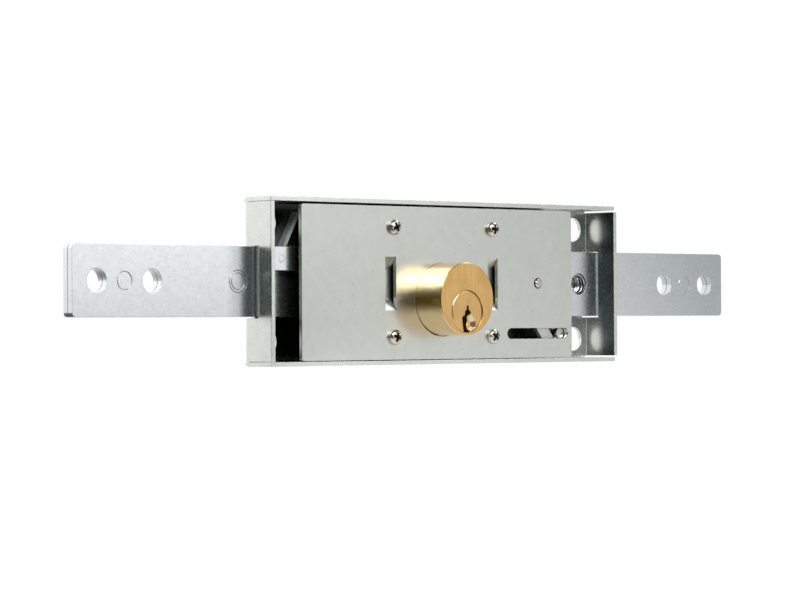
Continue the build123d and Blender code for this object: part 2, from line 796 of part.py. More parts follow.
# Right bolt: both layers share one outline, with a lug that carries the guide pin
lug_bottom = -lever_arm - lug_below_pin
right_link_holes = [bolt_reach - distance for distance in link_holes]
for layer, depth in (("rear", rear_layer), ("front", front_layer)):
    with BuildPart() as right_plate:
        with BuildSketch(Plane.XZ.offset(depth)) as outline:
            with BuildLine():
                Polyline(
                    (right_body_start, bolt_half),
                    (bolt_reach, bolt_half),
                    (bolt_reach, -bolt_half),
                    (guide_pin_place[0] + lug_half_width, -bolt_half),
                    (guide_pin_place[0] + lug_half_width, lug_bottom),
                    (guide_pin_place[0] - lug_half_width, lug_bottom),
                    (guide_pin_place[0] - lug_half_width, -bolt_half),
                    (right_body_start, -bolt_half),
                    close=True,
                )
            make_face()
            fillet(outline.vertices().group_by(Axis.X)[-1], radius=bolt_corner)
            with Locations([(x, 0) for x in right_link_holes]):
                Circle(link_hole_radius, mode=Mode.SUBTRACT)
            with Locations((bolt_reach - outer_rivet_from_end, 0)):
                Circle(outer_rivet_radius, mode=Mode.SUBTRACT)
            with Locations((right_inner_rivet_x, 0)):
                Circle(inner_rivet_radius, mode=Mode.SUBTRACT)
            with Locations((thread_hole_x, 0)):
                Circle(thread_hole_radius, mode=Mode.SUBTRACT)
            with Locations(guide_pin_place):
                Circle(drive_pin_radius, mode=Mode.SUBTRACT)
        extrude(amount=bolt_plate)
        if layer == "front":
            with BuildSketch(Plane.XZ.offset(bolt_front)):
                with Locations((right_inner_rivet_x, 0)):
                    Circle(inner_rivet_ring)
            extrude(amount=-rivet_sink, mode=Mode.SUBTRACT)
    write_part(right_plate.part, f"right_bolt_{layer}_plate")

# Pin on the right bolt: the lever's lower fork holds it, and its head shows in the cover's slot
with BuildPart() as right_guide_pin:
    with BuildSketch(Plane.XZ.offset(rear_layer)):
        with Locations(guide_pin_place):
            Circle(drive_pin_radius)
    extrude(amount=pin_head_rear - rear_layer)
    with BuildSketch(Plane.XZ.offset(pin_head_rear)):
        with Locations(guide_pin_place):
            Circle(drive_pin_head_radius)
    extrude(amount=drive_pin_head_height)
write_part(right_guide_pin.part, "right_guide_pin")

# Rivets that hold each bolt's layers together
for side, outward, inner_x in (
    ("left", -1, -left_inner_rivet_x),
    ("right", 1, right_inner_rivet_x),
):
    with BuildPart() as outer_rivet:
        with BuildSketch(Plane.XZ.offset(rear_layer)):
            with Locations((outward * (bolt_reach - outer_rivet_from_end), 0)):
                Circle(outer_rivet_radius)
        extrude(amount=bolt_front - rear_layer)
        chamfer(outer_rivet.edges().filter_by(GeomType.CIRCLE), length=rivet_rim)
    write_part(outer_rivet.part, f"{side}_outer_rivet")

    with BuildPart() as inner_rivet:
        with BuildSketch(Plane.XZ.offset(rear_layer)):
            with Locations((inner_x, 0)):
                Circle(inner_rivet_radius)
        extrude(amount=bolt_front - rear_layer)
        with BuildSketch(Plane.XZ.offset(bolt_front)):
            with Locations((inner_x, 0)):
                Circle(inner_rivet_ring)
        extrude(amount=-rivet_sink)
        ring_rim = inner_rivet.edges().filter_by(GeomType.CIRCLE).sort_by(Axis.Y)[0]
        chamfer(ring_rim, length=rivet_rim)
        with BuildSketch(Plane.XZ.offset(bolt_front)):
            with Locations((inner_x, 0)):
                Circle(inner_rivet_radius)
                Circle(inner_rivet_radius - rivet_rim, mode=Mode.SUBTRACT)
        extrude(amount=-rivet_rim, mode=Mode.SUBTRACT)
    write_part(inner_rivet.part, f"{side}_inner_rivet")

# Rocker lever with an open fork at each end
fork_start = lever_arm - drive_pin_radius - fork_gap
waist_half = lever_waist / 2
lever_quarter = [
    (waist_half, lever_waist_half_length),
    (lever_half_width, lever_shoulder),
    (lever_half_width, lever_tip),
]
with BuildSketch() as lever_outline:
    with BuildLine():
        Polyline(
            *lever_quarter,
            *[(-x, z) for x, z in reversed(lever_quarter)],
            *[(-x, -z) for x, z in lever_quarter],
            *[(x, -z) for x, z in reversed(lever_quarter)],
            close=True,
        )
    make_face()
    tips = lever_outline.vertices().group_by(Axis.Y)
    fillet(tips[0] + tips[-1], radius=lever_tip_corner)
    fillet(
        lever_outline.vertices().filter_by_position(Axis.Y, -lever_shoulder, lever_shoulder),
        radius=lever_waist_corner,
    )
with BuildPart() as rocker_lever:
    with BuildSketch(Plane.XZ.offset(lever_rear)):
        with Locations(Location((pivot_x, 0, 0), (0, 0, lever_angle))):
            add(lever_outline.sketch)
            Circle(pivot_radius + pivot_clearance, mode=Mode.SUBTRACT)
            with Locations((0, lever_tip), (0, -lever_tip)):
                Rectangle(
                    fork_slot,
                    2 * (lever_tip - fork_start - fork_slot / 2),
                    mode=Mode.SUBTRACT,
                )
            with Locations((0, fork_start + fork_slot / 2), (0, -fork_start - fork_slot / 2)):
                Circle(fork_slot / 2, mode=Mode.SUBTRACT)
    extrude(amount=lever_sheet)
write_part(rocker_lever.part, "rocker_lever")

# Pivot rivet: head outside the cover, collar, journal for the lever, and tail head
journal_rear = lever_rear - pivot_clearance
collar_rear = lever_front + pivot_clearance
with BuildPart() as lever_pivot_rivet:
    with BuildSketch(Plane.XZ.offset(bolt_front + pivot_tail_gap)):
        with Locations((pivot_x, 0)):
            Circle(pivot_tail_radius)
    extrude(amount=journal_rear - bolt_front - pivot_tail_gap)
    with BuildSketch(Plane.XZ.offset(journal_rear)):
        with Locations((pivot_x, 0)):
            Circle(pivot_radius)
    extrude(amount=collar_rear - journal_rear)
    with BuildSketch(Plane.XZ.offset(collar_rear)):
        with Locations((pivot_x, 0)):
            Circle(pivot_collar_radius)
    extrude(amount=cover_rear - collar_rear)
    with BuildSketch(Plane.XZ.offset(cover_rear)):
        with Locations((pivot_x, 0)):
            Circle(pivot_shank_radius)
    extrude(amount=cover_sheet)
    with BuildSketch(Plane.XZ.offset(cover_front - pivot_sink_depth)):
        with Locations((pivot_x, 0)):
            Circle(pivot_head_radius)
    extrude(amount=pivot_sink_depth + pivot_head_height)
    head_rim = lever_pivot_rivet.edges().filter_by(GeomType.CIRCLE).sort_by(Axis.Y)[0]
    chamfer(head_rim, length=pivot_head_height / 2)
write_part(lever_pivot_rivet.part, "lever_pivot_rivet")
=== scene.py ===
import json

import bmesh
import bpy
from math import cos, pi, radians, sin
from mathutils import Matrix, Vector


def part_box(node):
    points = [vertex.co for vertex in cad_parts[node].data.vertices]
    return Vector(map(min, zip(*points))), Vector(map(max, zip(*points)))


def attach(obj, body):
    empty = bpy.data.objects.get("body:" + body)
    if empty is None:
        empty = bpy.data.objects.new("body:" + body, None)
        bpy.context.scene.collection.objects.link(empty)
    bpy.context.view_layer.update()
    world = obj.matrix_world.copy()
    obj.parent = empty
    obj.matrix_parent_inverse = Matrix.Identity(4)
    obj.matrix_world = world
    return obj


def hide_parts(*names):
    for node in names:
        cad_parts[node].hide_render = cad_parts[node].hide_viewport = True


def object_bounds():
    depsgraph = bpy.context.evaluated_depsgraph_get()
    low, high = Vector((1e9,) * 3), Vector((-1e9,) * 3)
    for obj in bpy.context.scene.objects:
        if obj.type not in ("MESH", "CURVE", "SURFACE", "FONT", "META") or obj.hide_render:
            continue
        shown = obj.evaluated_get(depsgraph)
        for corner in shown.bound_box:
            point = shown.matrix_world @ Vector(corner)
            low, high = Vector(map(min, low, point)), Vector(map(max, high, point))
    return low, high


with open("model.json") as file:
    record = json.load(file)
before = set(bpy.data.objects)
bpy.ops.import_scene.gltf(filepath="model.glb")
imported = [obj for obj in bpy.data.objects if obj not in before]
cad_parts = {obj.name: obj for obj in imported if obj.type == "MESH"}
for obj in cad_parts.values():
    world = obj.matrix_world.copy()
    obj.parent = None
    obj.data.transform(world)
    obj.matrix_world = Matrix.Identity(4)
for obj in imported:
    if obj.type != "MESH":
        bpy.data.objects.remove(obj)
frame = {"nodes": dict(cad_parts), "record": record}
nodes = frame["nodes"]
cad_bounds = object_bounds()


# Camera: 1.12 m from the lock, to its left, level with the lower half of the case
camera_place = Vector((-0.7591, -0.8298, -0.0168))
view_azimuth = radians(42.14)
view_pitch = radians(0.547)
view_roll = radians(-0.369)
lens_length = 140.05
sensor_width = 36.0
nearest_seen = 0.01


def make_camera():
    forward = Vector((
        sin(view_azimuth) * cos(view_pitch),
        cos(view_azimuth) * cos(view_pitch),
        sin(view_pitch),
    ))
    level = Vector((cos(view_azimuth), -sin(view_azimuth), 0))
    upright = level.cross(forward)
    right = cos(view_roll) * level + sin(view_roll) * upright
    up = -sin(view_roll) * level + cos(view_roll) * upright
    data = bpy.data.cameras.new("camera")
    data.lens = lens_length
    data.sensor_width = sensor_width
    data.clip_start = nearest_seen
    camera = bpy.data.objects.new("camera", data)
    bpy.context.scene.collection.objects.link(camera)
    turn = Matrix((right, up, -forward)).transposed().to_4x4()
    camera.matrix_world = Matrix.Translation(camera_place) @ turn
    bpy.context.scene.camera = camera


def mount_place(name):
    """Centre, radius and length of one of the record's round mounts, in metres."""
    mount = next(row for row in frame["record"]["mounts"] if row["name"] == name)
    dims = mount["dims"]
    return Vector(mount["pos_m"]), dims["r_mm"] / 1000, dims["length_mm"] / 1000


# Node helpers for the materials

def new_material(name):
    """A metal with nothing linked to it yet."""
    material = bpy.data.materials.new(name)
    material.use_nodes = True
    tree = material.node_tree
    tree.nodes.clear()
    output = tree.nodes.new("ShaderNodeOutputMaterial")
    shader = tree.nodes.new("ShaderNodeBsdfPrincipled")
    shader.inputs["Metallic"].default_value = 1.0
    tree.links.new(shader.outputs["BSDF"], output.inputs["Surface"])
    return material, tree, shader


def scaled_position(tree, scale=(1, 1, 1)):
    """Object coordinates stretched by a scale, which holds a pattern to the piece."""
    place = tree.nodes.new("ShaderNodeTexCoord")
    mapping = tree.nodes.new("ShaderNodeMapping")
    mapping.inputs["Scale"].default_value = scale
    tree.links.new(place.outputs["Object"], mapping.inputs["Vector"])
    return mapping.outputs["Vector"]


def coordinate(tree, output, axis):
    """One axis of the Object, Normal or Generated output of the texture coordinates."""
    place = tree.nodes.new("ShaderNodeTexCoord")
    split = tree.nodes.new("ShaderNodeSeparateXYZ")
    tree.links.new(place.outputs[output], split.inputs["Vector"])
    return split.outputs[axis]


def noise(tree, vector, scale, detail=4.0, rough=0.55):
    texture = tree.nodes.new("ShaderNodeTexNoise")
    texture.inputs["Scale"].default_value = scale
    texture.inputs["Detail"].default_value = detail
    texture.inputs["Roughness"].default_value = rough
    tree.links.new(vector, texture.inputs["Vector"])
    return texture.outputs["Fac"]


def ramp(tree, value, stops):
    """Colour ramp over a value; stops are (position, colour)."""
    node = tree.nodes.new("ShaderNodeValToRGB")
    elements = node.color_ramp.elements
    while len(elements) < len(stops):
        elements.new(0.5)
    for element, (position, colour) in zip(elements, stops):
        element.position = position
        element.color = (*colour, 1.0)
    tree.links.new(value, node.inputs["Fac"])
    return node.outputs["Color"]


def remap(tree, value, low, high, to_low, to_high):
    """Moves the range from low to high onto another, and holds what lies outside at its ends."""
    node = tree.nodes.new("ShaderNodeMapRange")
    node.inputs["From Min"].default_value = low
    node.inputs["From Max"].default_value = high
    node.inputs["To Min"].default_value = to_low
    node.inputs["To Max"].default_value = to_high
    tree.links.new(value, node.inputs["Value"])
    return node.outputs["Result"]


def rising(tree, value, low, high):
    """0 below one limit and 1 above the other."""
    return remap(tree, value, low, high, 0.0, 1.0)


def falling(tree, value, low, high):
    """1 below one limit and 0 above the other."""
    return remap(tree, value, low, high, 1.0, 0.0)


def spread(tree, pattern, low, high):
    """Moves a noise, which lies mostly between 0.3 and 0.7, onto a range."""
    return remap(tree, pattern, 0.3, 0.7, low, high)


def arithmetic(tree, operation, first, second):
    """A sum, product or other operation of a value with a value or a constant."""
    node = tree.nodes.new("ShaderNodeMath")
    node.operation = operation
    tree.links.new(first, node.inputs[0])
    if isinstance(second, float):
        node.inputs[1].default_value = second
    else:
        tree.links.new(second, node.inputs[1])
    return node.outputs["Value"]


def product(tree, first, *others):
    for other in others:
        first = arithmetic(tree, "MULTIPLY", first, other)
    return first


def unsigned(tree, value):
    return arithmetic(tree, "ABSOLUTE", value, 0.0)


def between(tree, value, low, high, soft):
    """1 where a value lies between two limits and 0 elsewhere, with soft ends."""
    return product(
        tree,
        rising(tree, value, low - soft, low + soft),
        falling(tree, value, high - soft, high + soft))


def plain_colour(tree, colour):
    node = tree.nodes.new("ShaderNodeRGB")
    node.outputs["Color"].default_value = (*colour, 1.0)
    return node.outputs["Color"]


def blend(tree, share, first, second):
    """Mixes two colours or values by a share."""
    node = tree.nodes.new("ShaderNodeMix")
    node.data_type = "RGBA"
    tree.links.new(share, node.inputs["Factor"])
    tree.links.new(first, node.inputs["A"])
    tree.links.new(second, node.inputs["B"])
    return node.outputs["Result"]


def painted(tree, tone, share, colour):
    """A tone with a plain colour over a share of it."""
    return blend(tree, share, tone, plain_colour(tree, colour))


def rounded_edges(tree, radius):
    node = tree.nodes.new("ShaderNodeBevel")
    node.samples = 6
    node.inputs["Radius"].default_value = radius
    return node.outputs["Normal"]


def rounded_edge_share(tree, edges):
    """How far the rounded normal departs from the surface: 0 on a flat, 1 on an edge."""
    surface = tree.nodes.new("ShaderNodeNewGeometry")
    likeness = tree.nodes.new("ShaderNodeVectorMath")
    likeness.operation = "DOT_PRODUCT"
    tree.links.new(edges, likeness.inputs[0])
    tree.links.new(surface.outputs["Normal"], likeness.inputs[1])
    return falling(tree, likeness.outputs["Value"], 0.80, 0.99)


def bump(tree, height, distance, normal):
    node = tree.nodes.new("ShaderNodeBump")
    node.inputs["Distance"].default_value = distance
    tree.links.new(height, node.inputs["Height"])
    tree.links.new(normal, node.inputs["Normal"])
    return node.outputs["Normal"]


def axis_distance(tree, middle_x, middle_z):
    """Distance from an axis that runs along Y."""
    across = arithmetic(tree, "SUBTRACT", coordinate(tree, "Object", "X"), middle_x)
    up = arithmetic(tree, "SUBTRACT", coordinate(tree, "Object", "Z"), middle_z)
    square = arithmetic(tree, "ADD", product(tree, across, across), product(tree, up, up))
    return arithmetic(tree, "SQRT", square, 0.0)


# Zones of the plated pieces: each gives a share from 0 to 1, and its places are in metres

def facing_low_end(tree, axis):
    """The faces that look to the low end of an axis."""
    return falling(tree, coordinate(tree, "Normal", axis), -0.9, -0.7)


def upright_faces(tree):
    """The faces that look neither to the front nor to the rear."""
    return falling(tree, unsigned(tree, coordinate(tree, "Normal", "Y")), 0.3, 0.5)


# Faces that look to the rear; on the cover they take painted shade
def painted_rear_shade(tree):
    return rising(tree, coordinate(tree, "Normal", "Y"), 0.3, 0.6)


def slanting_ends(tree):
    """The slanting ends of the bolts' plates, which lie inside the case."""
    left_end, right_end, soft = -0.079, 0.070, 0.0005
    normal_x = coordinate(tree, "Normal", "X")
    normal_z = coordinate(tree, "Normal", "Z")
    slant = rising(tree, unsigned(tree, product(tree, normal_x, normal_z)), 0.15, 0.25)
    return product(
        tree, slant, between(tree, coordinate(tree, "Object", "X"), left_end, right_end, soft))


def painted_bolt_shade(tree):
    """Painted shade on the left bolt, darker up to the case's wall, and on the right bolt,
    darker towards its end.
    """
    near_wall_shade_start, near_wall_shade_end, near_wall_shade_share = -0.0935, -0.0860, 0.55
    wall_outside, wall_inside = -0.0790, -0.0780
    end_shade_start, end_shade_end, end_shade_share = 0.095, 0.150, 0.40
    along = coordinate(tree, "Object", "X")
    near_wall_shade = product(
        tree,
        remap(tree, along, near_wall_shade_start, near_wall_shade_end, 0.0, near_wall_shade_share),
        falling(tree, along, wall_outside, wall_inside))
    end_shade = remap(tree, along, end_shade_start, end_shade_end, 0.0, end_shade_share)
    return arithmetic(tree, "ADD", near_wall_shade, end_shade)


def painted_wall_shade(tree):
    """Painted shade on the inner face of the right wall, at its middle height and near its front
    edge.
    """
    wall_start, wall_full = 0.078, 0.080
    half_height, soft = 0.0115, 0.004
    front_strip, strip_end = -0.0095, -0.0070
    wall_shade_share = 0.80
    wall = rising(tree, coordinate(tree, "Object", "X"), wall_start, wall_full)
    middle = between(tree, coordinate(tree, "Object", "Z"), -half_height, half_height, soft)
    near_front = falling(tree, coordinate(tree, "Object", "Y"), front_strip, strip_end)
    wall_shade_zone = arithmetic(tree, "MAXIMUM", middle, near_front)
    return product(tree, facing_low_end(tree, "X"), wall, wall_shade_zone, wall_shade_share)


def front_rim(tree):
    """A thin line round the case, just behind its front edge."""
    line_front, line_rear, soft = -0.0145, -0.0141, 0.0001
    line_share = 0.55
    line = between(tree, coordinate(tree, "Object", "Y"), line_front, line_rear, soft)
    return product(tree, line, upright_faces(tree), line_share)


def painted_back_shade(tree):
    """Painted shade on the inner face of the case's back, from its left wall to the far end of
    the cover.
    """
    left_end, right_end, soft_ends = -0.0785, 0.064, 0.002
    front, rear, soft = -0.004, -0.0007, 0.0003
    return product(
        tree,
        between(tree, coordinate(tree, "Object", "X"), left_end, right_end, soft_ends),
        facing_low_end(tree, "Y"),
        between(tree, coordinate(tree, "Object", "Y"), front, rear, soft))


def slot_lip(tree):
    """The rolled front edge of the slot in the case's left wall."""
    outside, inside = -0.0815, -0.0794
    front, rear = -0.0084, -0.0062
    half_height = 0.0124
    soft, soft_height = 0.0002, 0.0003
    return product(
        tree,
        between(tree, coordinate(tree, "Object", "X"), outside, inside, soft),
        between(tree, coordinate(tree, "Object", "Y"), front, rear, soft),
        between(tree, coordinate(tree, "Object", "Z"), -half_height, half_height, soft_height))


def plate_joint(depth):
    """The dark joint between two plates that meet at a depth."""
    half_width, soft = 0.00013, 0.00006

    def zone(tree):
        joint = between(
            tree, coordinate(tree, "Object", "Y"), depth - half_width, depth + half_width, soft)
        return product(tree, joint, upright_faces(tree))

    return zone


def rivet_ring(middle_x, middle_z, radius):
    """The dark line round a rivet's head."""
    inward, outward, soft = 0.0002, 0.00015, 0.0001

    def zone(tree):
        reach = axis_distance(tree, middle_x, middle_z)
        return between(tree, reach, radius - inward, radius + outward, soft)

    return zone


# Materials. The scales of the noise are in waves for each metre.
mottle_scale = 260.0
speck_scale = 620.0
gloss_scale = 500.0
grain_scale = 900.0
turning_scale = 1500.0
brushing_scale = 1800.0
tint_scale = 140.0
speck_colour = (0.30, 0.30, 0.28)
# Pale colour of the painted highlight on rounded edges
edge_highlight_colour = (0.93, 0.92, 0.86)
worn_edge_roughness = 0.25


def plated_steel(name, tones, roughness, grain, grain_depth, edge_radius,
                 specks_share=0.35, stains_and_painted_light=(), marks=(), matt_zones=()):
    """Zinc-plated sheet: a soft mottle, fine grain, sparse specks and a painted highlight on its
    rounded edges.

    Stains and zones of painted shade and light are each a zone and its colour under the bright
    edges, and a mark is one over them.
    A matt zone has the roughness that it adds.
    """
    material, tree, shader = new_material(name)
    even = scaled_position(tree)
    dark, light = tones
    mottle = noise(tree, even, mottle_scale, 6.0, 0.6)
    tone = ramp(tree, mottle, ((0.30, dark), (0.70, light)))
    specks = remap(tree, noise(tree, even, speck_scale, 1.5), 0.70, 0.76, 0.0, specks_share)
    tone = painted(tree, tone, specks, speck_colour)
    # Stains, painted shade and painted light go under the edge highlight
    for zone, colour in stains_and_painted_light:
        tone = painted(tree, tone, zone(tree), colour)
    edges = rounded_edges(tree, edge_radius)
    edge_share = rounded_edge_share(tree, edges)
    # Painted highlight: the rounded edges take a pale colour
    tone = painted(tree, tone, edge_share, edge_highlight_colour)
    for zone, colour in marks:
        tone = painted(tree, tone, zone(tree), colour)
    tree.links.new(tone, shader.inputs["Base Color"])
    gloss = spread(tree, noise(tree, even, gloss_scale, 2.0), *roughness)
    gloss = arithmetic(tree, "ADD", gloss, product(tree, edge_share, worn_edge_roughness))
    for zone, added_roughness in matt_zones:
        gloss = arithmetic(tree, "ADD", gloss, product(tree, zone(tree), added_roughness))
    tree.links.new(gloss, shader.inputs["Roughness"])
    lines = noise(tree, scaled_position(tree, grain), grain_scale, 3.0)
    tree.links.new(bump(tree, lines, grain_depth, edges), shader.inputs["Normal"])
    return material


def turned_brass(name, face_tones, side_tones, roughness, grain_depth,
                 edge_radius=0.00020, painted_shade_band=None):
    """Satin brass: turning rings round the side and straight brushing across the face.

    A colour of painted shade tones the side where it stands upright, at half its height.
    """
    material, tree, shader = new_material(name)
    flat_end = rising(tree, unsigned(tree, coordinate(tree, "Normal", "Y")), 0.6, 0.9)
    rings = noise(tree, scaled_position(tree, (0.02, 1, 0.02)), turning_scale)
    brushing = noise(tree, scaled_position(tree, (1, 0.02, 0.03)), brushing_scale, 5.0, 0.65)
    lines = blend(tree, flat_end, rings, brushing)
    tint = noise(tree, scaled_position(tree), tint_scale)
    tint_share, lines_share = 0.4, 0.6
    mixed = arithmetic(
        tree, "ADD", product(tree, tint, tint_share), product(tree, lines, lines_share))
    face_tone, side_tone = (
        ramp(tree, mixed, ((0.35, dark), (0.65, light)))
        for dark, light in (face_tones, side_tones)
    )
    if painted_shade_band is not None:
        low, high, soft = -0.24, 0.16, 0.14
        upright = between(tree, coordinate(tree, "Normal", "Z"), low, high, soft)
        side_tone = painted(tree, side_tone, upright, painted_shade_band)
    tree.links.new(blend(tree, flat_end, side_tone, face_tone), shader.inputs["Base Color"])
    tree.links.new(spread(tree, lines, *roughness), shader.inputs["Roughness"])
    edges = rounded_edges(tree, edge_radius)
    tree.links.new(bump(tree, lines, grain_depth, edges), shader.inputs["Normal"])
    return material


def thread_steel(name, root, crest, root_radius, crest_radius):
    """Cut thread: bright crests, and roots darkened as painted shade, by the distance from its
    axis.
    """
    low_roughness, high_roughness = 0.20, 0.28
    edge_radius = 0.00006
    material, tree, shader = new_material(name)
    depth = rising(tree, axis_distance(tree, 0.0, 0.0), crest_radius, root_radius)
    tone = painted(tree, plain_colour(tree, crest), depth, root)
    tree.links.new(tone, shader.inputs["Base Color"])
    grain = noise(tree, scaled_position(tree), grain_scale)
    gloss = spread(tree, grain, low_roughness, high_roughness)
    tree.links.new(gloss, shader.inputs["Roughness"])
    tree.links.new(rounded_edges(tree, edge_radius), shader.inputs["Normal"])
    return material


def make_materials():
    rivet_low, rivet_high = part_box("lever_pivot_rivet")
    rivet_x = (rivet_low.x + rivet_high.x) / 2
    joint_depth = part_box("left_bolt_front_plate")[1].y
    return {
        "case_steel": plated_steel(
            "case_steel",
            tones=((0.66, 0.68, 0.645), (0.72, 0.74, 0.71)), roughness=(0.26, 0.29),
            grain=(1, 0.08, 1), grain_depth=0.25e-6, edge_radius=0.00022, specks_share=0.15,
            # Painted shade on the right wall's inner face and on the back behind the cover
            stains_and_painted_light=(
                (painted_wall_shade, (0.10, 0.15, 0.16)),
                (front_rim, (0.22, 0.22, 0.20)),
                (painted_back_shade, (0.08, 0.08, 0.08)),
            ),
            matt_zones=((slot_lip, 0.7),)),
        "cover_steel": plated_steel(
            "cover_steel",
            tones=((0.61, 0.625, 0.58), (0.66, 0.67, 0.63)), roughness=(0.29, 0.34),
            grain=(1, 1, 0.10), grain_depth=1.0e-6, edge_radius=0.00020,
            # Painted shade on the cover's rear faces
            stains_and_painted_light=((painted_rear_shade, (0.05, 0.05, 0.05)),),
            marks=((rivet_ring(rivet_x, 0.0, 0.00185), (0.03, 0.03, 0.03)),)),
        "bolt_steel": plated_steel(
            "bolt_steel",
            tones=((0.72, 0.735, 0.74), (0.76, 0.775, 0.78)), roughness=(0.25, 0.28),
            grain=(0.15, 1, 1), grain_depth=0.25e-6, edge_radius=0.00022, specks_share=0.04,
            # A paler teal on the slanting ends is a painted highlight; the bolts also darken as
            # painted shade near the wall and towards the right end
            stains_and_painted_light=((slanting_ends, (0.80, 0.90, 0.90)), (painted_bolt_shade, (0.30, 0.35, 0.36))),
            marks=((plate_joint(joint_depth), (0.02, 0.025, 0.025)),),
            matt_zones=((slanting_ends, 0.40),)),
        "zinc_plated_steel": plated_steel(
            "zinc_plated_steel",
            tones=((0.56, 0.56, 0.52), (0.68, 0.67, 0.62)), roughness=(0.30, 0.38),
            grain=(1, 1, 1), grain_depth=4e-6, edge_radius=0.00015),
        "screw_steel": plated_steel(
            "screw_steel",
            tones=((0.62, 0.57, 0.49), (0.80, 0.76, 0.68)), roughness=(0.15, 0.20),
            grain=(1, 1, 1), grain_depth=1e-6, edge_radius=0.00012),
        # Dark brown steel: painted shade for the screws' cross recesses and the ring round the
        # nose
        "recess_steel": plated_steel(
            "recess_steel",
            tones=((0.26, 0.20, 0.16), (0.46, 0.38, 0.31)), roughness=(0.35, 0.45),
            grain=(1, 1, 1), grain_depth=1e-6, edge_radius=0.00002),
        "spring_steel": plated_steel(
            "spring_steel",
            tones=((0.50, 0.50, 0.50), (0.60, 0.60, 0.60)), roughness=(0.25, 0.35),
            grain=(1, 1, 1), grain_depth=2e-6, edge_radius=0.00005),
        # Near-black thread roots are painted shade
        "thread_steel": thread_steel(
            "thread_steel", root=(0.02, 0.022, 0.022), crest=(0.78, 0.80, 0.80),
            root_radius=0.00375, crest_radius=0.00340),
        # Paler side tones than the face's are a painted highlight; the dark band at half the
        # side's height is painted shade
        "satin_brass": turned_brass(
            "satin_brass",
            face_tones=((0.63, 0.37, 0.13), (0.83, 0.52, 0.215)),
            side_tones=((0.90, 0.67, 0.37), (0.96, 0.75, 0.46)),
            roughness=(0.20, 0.28), grain_depth=2.5e-6, painted_shade_band=(0.46, 0.28, 0.05)),
        # Paler side tones than the face's are a painted highlight
        "plug_brass": turned_brass(
            "plug_brass",
            face_tones=((0.65, 0.39, 0.14), (0.85, 0.54, 0.225)),
            side_tones=((0.86, 0.70, 0.44), (0.94, 0.80, 0.55)),
            roughness=(0.17, 0.24), grain_depth=2.5e-6, edge_radius=0.0006),
        "pin_brass": turned_brass(
            "pin_brass",
            face_tones=((0.70, 0.46, 0.20), (0.80, 0.56, 0.28)),
            side_tones=((0.70, 0.46, 0.20), (0.80, 0.56, 0.28)),
            roughness=(0.18, 0.26), grain_depth=3e-6),
    }


finer_materials = {
    "key_plug": "plug_brass",
    "lever_pivot_rivet": "screw_steel",
    "right_guide_pin": "screw_steel",
}


def dress_nodes(materials):
    """Gives every carried-over node the material of its slot, or a finer one."""
    for row in frame["record"]["subparts"]:
        node = nodes[row["node"]]
        slot = finer_materials.get(row["node"], row["material_slot"])
        node.data.materials.clear()
        node.data.materials.append(materials[slot])


# Pieces of finer detail

def mesh_piece(name, points, faces, material, smooth=True):
    data = bpy.data.meshes.new(name)
    data.from_pydata(points, [], faces)
    data.materials.append(material)
    for polygon in data.polygons:
        polygon.use_smooth = smooth
    piece = bpy.data.objects.new(name, data)
    bpy.context.scene.collection.objects.link(piece)
    return piece


def circle(radius, depth, sides, across=0.0, up=0.0):
    """Points round an axis that runs along Y, at a depth and shifted off the axis."""
    angles = [2 * pi * side / sides for side in range(sides)]
    return [(radius * cos(angle) + across, depth, radius * sin(angle) + up) for angle in angles]


def band_faces(ring, following_ring, sides):
    """Faces between two rings of points, given by their numbers."""
    faces = []
    for side in range(sides):
        following = (side + 1) % sides
        faces.append((
            ring * sides + side,
            ring * sides + following,
            following_ring * sides + following,
            following_ring * sides + side,
        ))
    return faces


def lathe(profile, sides):
    """Points and faces of a closed body: a profile of (radius, height) turned round -Y."""
    points = []
    faces = []
    for ring, (radius, height) in enumerate(profile):
        points += circle(radius, -height, sides)
        if ring > 0:
            faces += band_faces(ring - 1, ring, sides)
    faces.append(tuple(range(sides)))
    faces.append(tuple(reversed(range(len(points) - sides, len(points)))))
    return points, faces


def tube(name, rings, sides, material):
    """A ring round an axis, from circles of which the last joins the first."""
    points = []
    faces = []
    for ring, points_round in enumerate(rings):
        points += points_round
        faces += band_faces(ring, (ring + 1) % len(rings), sides)
    return mesh_piece(name, points, faces, material, False)


# Cover screws
screw_head_radius = 0.00275
screw_head_height = 0.0020
screw_rim_height = 0.0006
screw_foot_height = 0.0001
screw_shank_radius = 0.00145
screw_shank_sink = 0.0005
screw_crown_steps = 7
screw_crown_power = 0.6
screw_sides = 40
screw_turns = (20, 65, 38, 10)
recess_half_length = 0.0029
recess_half_width = 0.00052
recess_floor = 0.0002
recess_taper = 0.30


def screw_profile():
    """Half the section of a pan head, from its shank up to the middle of its crown."""
    profile = [
        (screw_shank_radius, -screw_shank_sink),
        (screw_head_radius - screw_foot_height, 0.0),
        (screw_head_radius, screw_foot_height),
    ]
    for step in range(screw_crown_steps):
        angle = radians(90) * step / screw_crown_steps
        profile.append((
            screw_head_radius * cos(angle) ** screw_crown_power,
            screw_rim_height + (screw_head_height - screw_rim_height) * sin(angle),
        ))
    return profile


def cross_cutter(height):
    """A tapered cross that cuts the driver's recess down from a height."""
    points = []
    faces = []
    for half_x, half_z in (
        (recess_half_length, recess_half_width),
        (recess_half_width, recess_half_length),
    ):
        start = len(points)
        for level, share in ((recess_floor, recess_taper), (height, 1.0)):
            for side_x, side_z in ((-1, -1), (1, -1), (1, 1), (-1, 1)):
                across = half_x * share if half_x > half_z else half_x
                along = half_z * share if half_z > half_x else half_z
                points.append((side_x * across, -level, side_z * along))
        faces.append((start + 3, start + 2, start + 1, start))
        faces.append((start + 4, start + 5, start + 6, start + 7))
        for side in range(4):
            following = (side + 1) % 4
            faces.append((
                start + side,
                start + following,
                start + following + 4,
                start + side + 4,
            ))
    return points, faces


